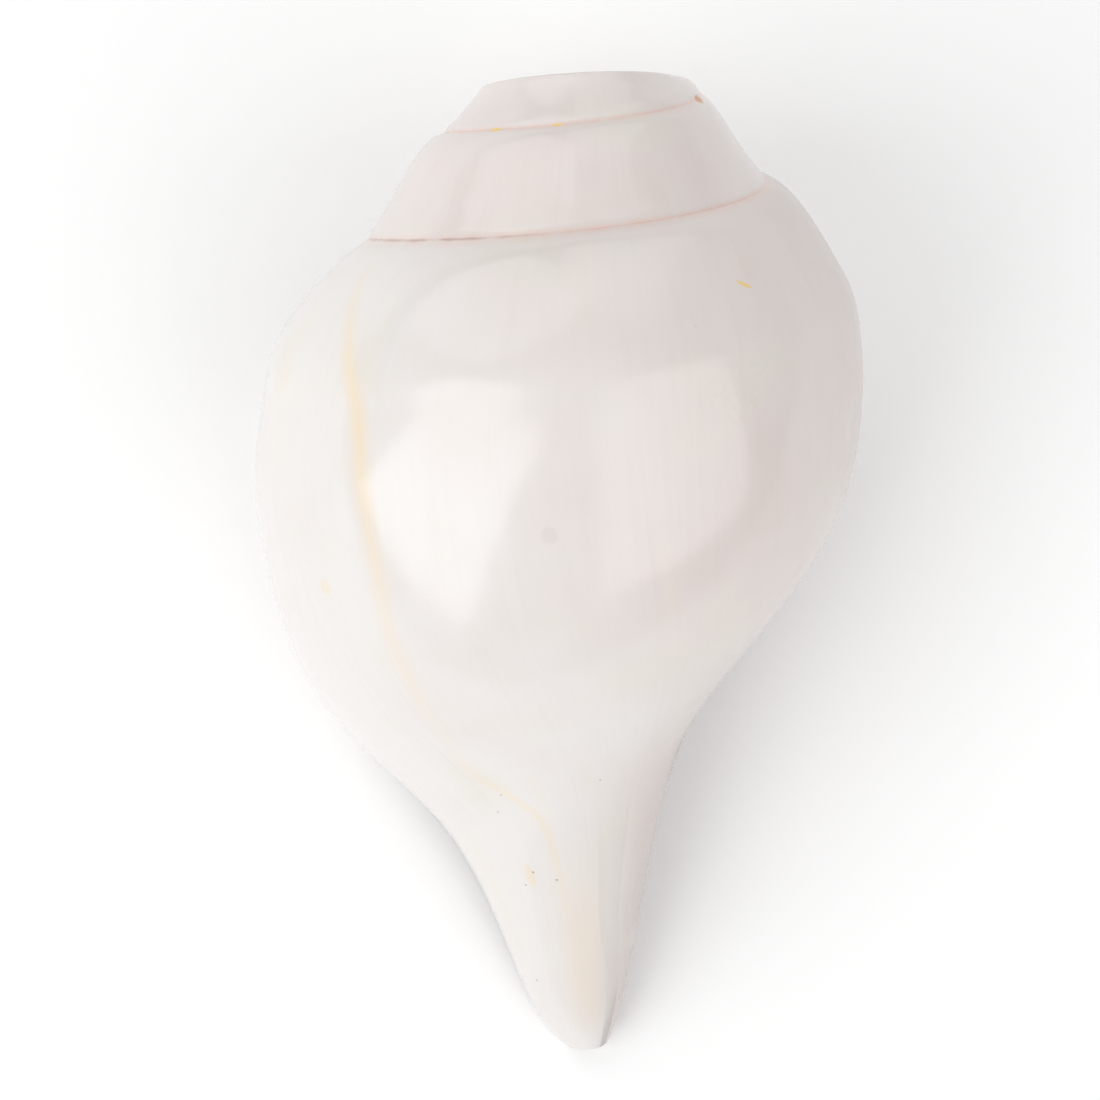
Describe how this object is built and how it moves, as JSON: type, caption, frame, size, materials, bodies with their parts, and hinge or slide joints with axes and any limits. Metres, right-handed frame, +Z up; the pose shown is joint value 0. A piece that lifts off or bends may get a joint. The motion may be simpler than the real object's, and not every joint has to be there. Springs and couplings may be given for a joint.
{
  "type": "conch shell",
  "caption": "Polished conch shell for blowing as a horn: low coiled spire ground flat with a blow hole, swollen body whorl, long aperture and siphonal canal.",
  "frame": {"origin": "centre of the shell's footprint, on the surface that it lies on", "axes": "+Y towards the ground spire with the blow hole, -Y towards the tip of the canal, +Z up out of the back of the shell, the lip on the -X side, the aperture facing down"},
  "size_m": [0.0918, 0.1476, 0.0793],
  "materials": {
    "polished_shell": "polished"
  },
  "bodies": {
    "root": {"shell": "polished_shell"}
  },
  "joints": []
}
